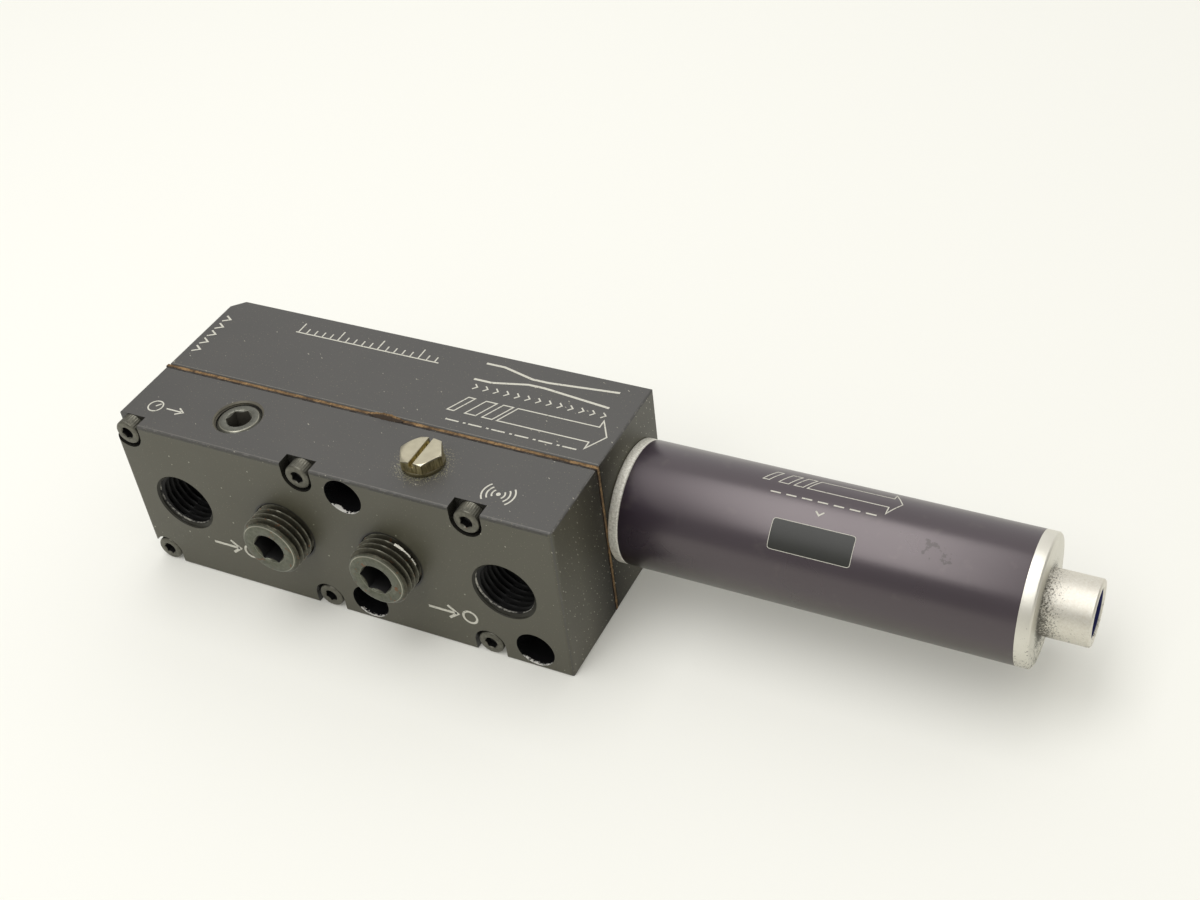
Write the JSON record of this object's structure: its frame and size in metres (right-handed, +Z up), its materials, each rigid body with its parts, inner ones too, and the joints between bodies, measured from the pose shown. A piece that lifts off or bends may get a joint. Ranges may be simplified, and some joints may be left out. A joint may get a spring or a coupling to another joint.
{
  "type": "vacuum ejector",
  "caption": "Compressed-air venturi block bolted to a multi-port vacuum manifold, with plugged and open side ports and a straight-through exhaust silencer.",
  "frame": {"origin": "on the underside, midway along the two blocks and straight below the venturi axis", "axes": "+X along the air flow towards the silencer, +Y from the port face to the mounting face, +Z up"},
  "size_m": [0.1932, 0.0505, 0.0414],
  "materials": {
    "block_black": "hard black anodising, satin, rubbed lighter on the edges",
    "gasket_sheet": "tan fibre sheet with a cut edge",
    "screw_steel": "black oxide worn to grey, light oil",
    "plug_steel": "phosphated steel with a few rust specks",
    "sensor_nickel": "dull nickel plate on brass",
    "seal_rubber": "black nitrile",
    "ring_rubber": "black nitrile",
    "spring_steel": "bright spring wire",
    "nozzle_brass": "turned brass",
    "diffuser_metal": "turned aluminium",
    "cap_metal": "satin turned aluminium",
    "tube_black": "black anodising with a faint purple cast",
    "liner_metal": "perforated aluminium",
    "packing_foam": "dark blue open foam"
  },
  "bodies": {
    "root": {"venturi_block": "block_black", "manifold_block": "block_black", "block_gasket": "gasket_sheet", "block_screws": "screw_steel", "port_plug_1": "plug_steel", "port_plug_2": "plug_steel", "gauge_port_plug": "plug_steel", "sensor_port_plug": "sensor_nickel", "sensor_plug_seal": "seal_rubber", "air_nozzle": "nozzle_brass", "nozzle_o_ring": "ring_rubber", "nozzle_snap_ring": "spring_steel", "diffuser_tube": "diffuser_metal", "diffuser_o_ring_1": "ring_rubber", "diffuser_o_ring_2": "ring_rubber", "silencer_inlet_cap": "cap_metal", "silencer_tube": "tube_black", "silencer_liner": "liner_metal", "silencer_packing": "packing_foam", "silencer_outlet_cap": "cap_metal"}
  },
  "joints": []
}
